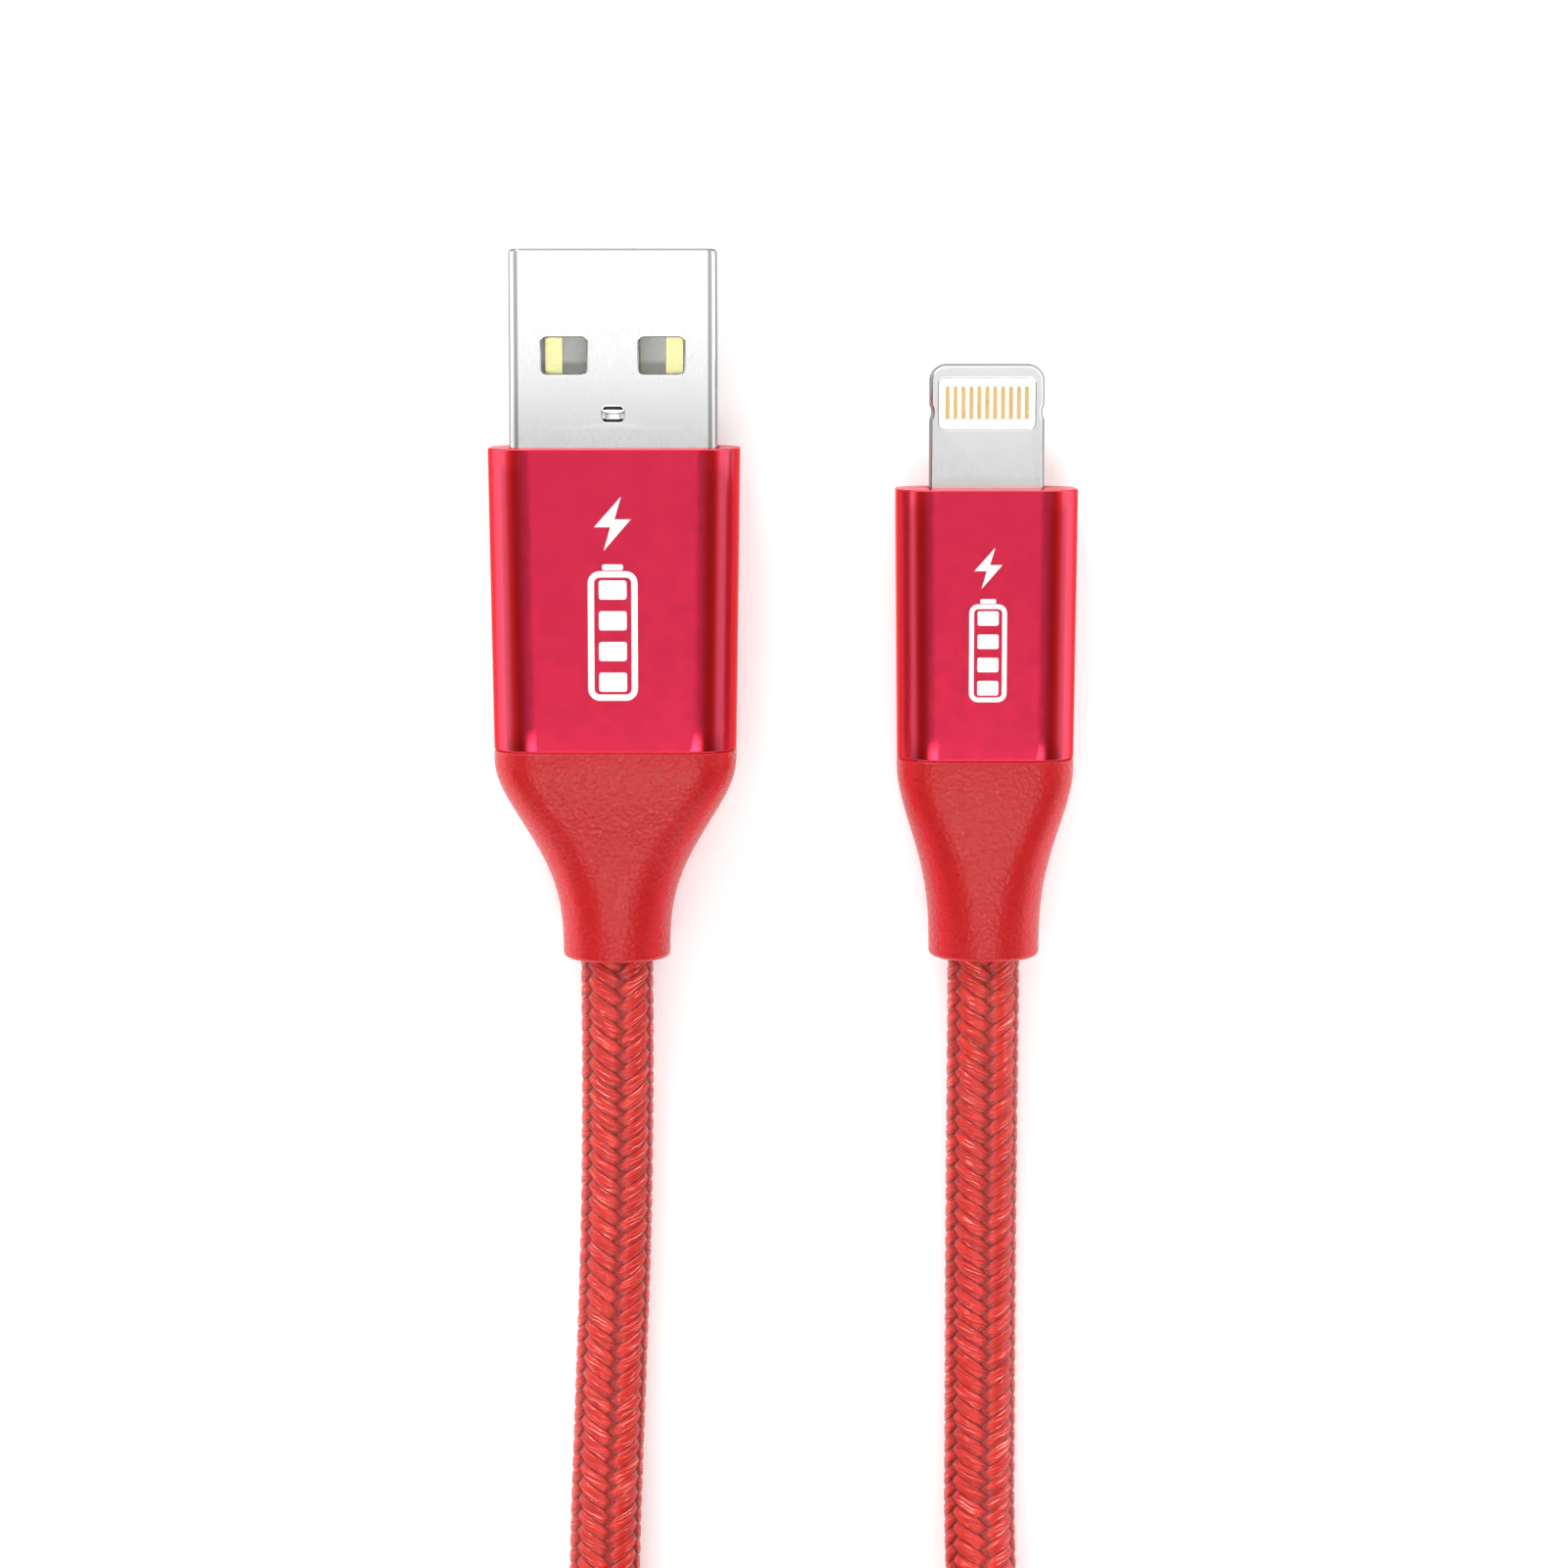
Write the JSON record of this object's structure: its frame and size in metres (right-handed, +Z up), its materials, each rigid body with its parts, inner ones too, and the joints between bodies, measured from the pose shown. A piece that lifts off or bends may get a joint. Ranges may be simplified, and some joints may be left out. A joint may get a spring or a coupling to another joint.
{
  "type": "charging cable",
  "caption": "Braided charging cable with a USB-A plug and a reversible phone plug in metal housings, its spare length in a tied hank.",
  "frame": {"origin": "on the resting surface, under the middle of the box round the two plugs and their strain reliefs", "axes": "+Y the way both plugs push in, +X from the USB plug to the phone plug, +Z up from the surface the cable lies on"},
  "size_m": [0.0376, 0.185, 0.0114],
  "materials": {
    "plug_steel": "bright nickel plate, lightly brushed",
    "insulator_plastic": "moulded",
    "contact_gold": "gold plated",
    "solder": "tin solder",
    "mold_plastic": "moulded",
    "crimp_copper": "pressed",
    "braided_cord": "woven nylon braid",
    "red_aluminium": "satin red anodised",
    "relief_rubber": "matte fine grain",
    "insert_plastic": "satin white",
    "circuit_board": "solder mask",
    "chip_plastic": "matte",
    "shield_steel": "rolled",
    "wire_red": "smooth",
    "wire_white": "smooth",
    "wire_green": "smooth",
    "wire_black": "smooth",
    "tie_fabric": "hook-and-loop pile"
  },
  "bodies": {
    "cord": {"cord_usb_lead": "braided_cord", "cord_hank": "braided_cord", "cord_phone_lead": "braided_cord", "cable_tie": "tie_fabric"},
    "usb_plug": {"usb_shell": "plug_steel", "usb_insulator": "insulator_plastic", "usb_power_contacts": "contact_gold", "usb_data_contacts": "contact_gold", "usb_solder": "solder", "usb_inner_mold": "mold_plastic", "usb_wire_red": "wire_red", "usb_wire_white": "wire_white", "usb_wire_green": "wire_green", "usb_wire_black": "wire_black", "usb_crimp": "crimp_copper", "usb_jacket_end": "braided_cord", "usb_housing": "red_aluminium", "usb_strain_relief": "relief_rubber"},
    "phone_plug": {"phone_frame": "plug_steel", "phone_insert": "insert_plastic", "phone_contacts_top": "contact_gold", "phone_contacts_bottom": "contact_gold", "phone_circuit_board": "circuit_board", "phone_chip": "chip_plastic", "phone_passives": "chip_plastic", "phone_shield": "shield_steel", "phone_solder": "solder", "phone_inner_mold": "mold_plastic", "phone_wire_red": "wire_red", "phone_wire_white": "wire_white", "phone_wire_green": "wire_green", "phone_wire_black": "wire_black", "phone_crimp": "crimp_copper", "phone_jacket_end": "braided_cord", "phone_housing": "red_aluminium", "phone_strain_relief": "relief_rubber"}
  },
  "joints": [
    {"name": "usb_flex", "type": "hinge", "parent": "cord", "child": "usb_plug", "pos_m": [-0.0098, -0.01665, 0.0038], "axis": [1, 0, 0], "range_deg": [0, 35], "stiffness_Nm_per_rad": 0.01, "deforming": ["usb_strain_relief"]},
    {"name": "phone_flex", "type": "hinge", "parent": "cord", "child": "phone_plug", "pos_m": [0.0118, -0.01665, 0.0033], "axis": [1, 0, 0], "range_deg": [0, 35], "stiffness_Nm_per_rad": 0.01, "deforming": ["phone_strain_relief"]}
  ]
}
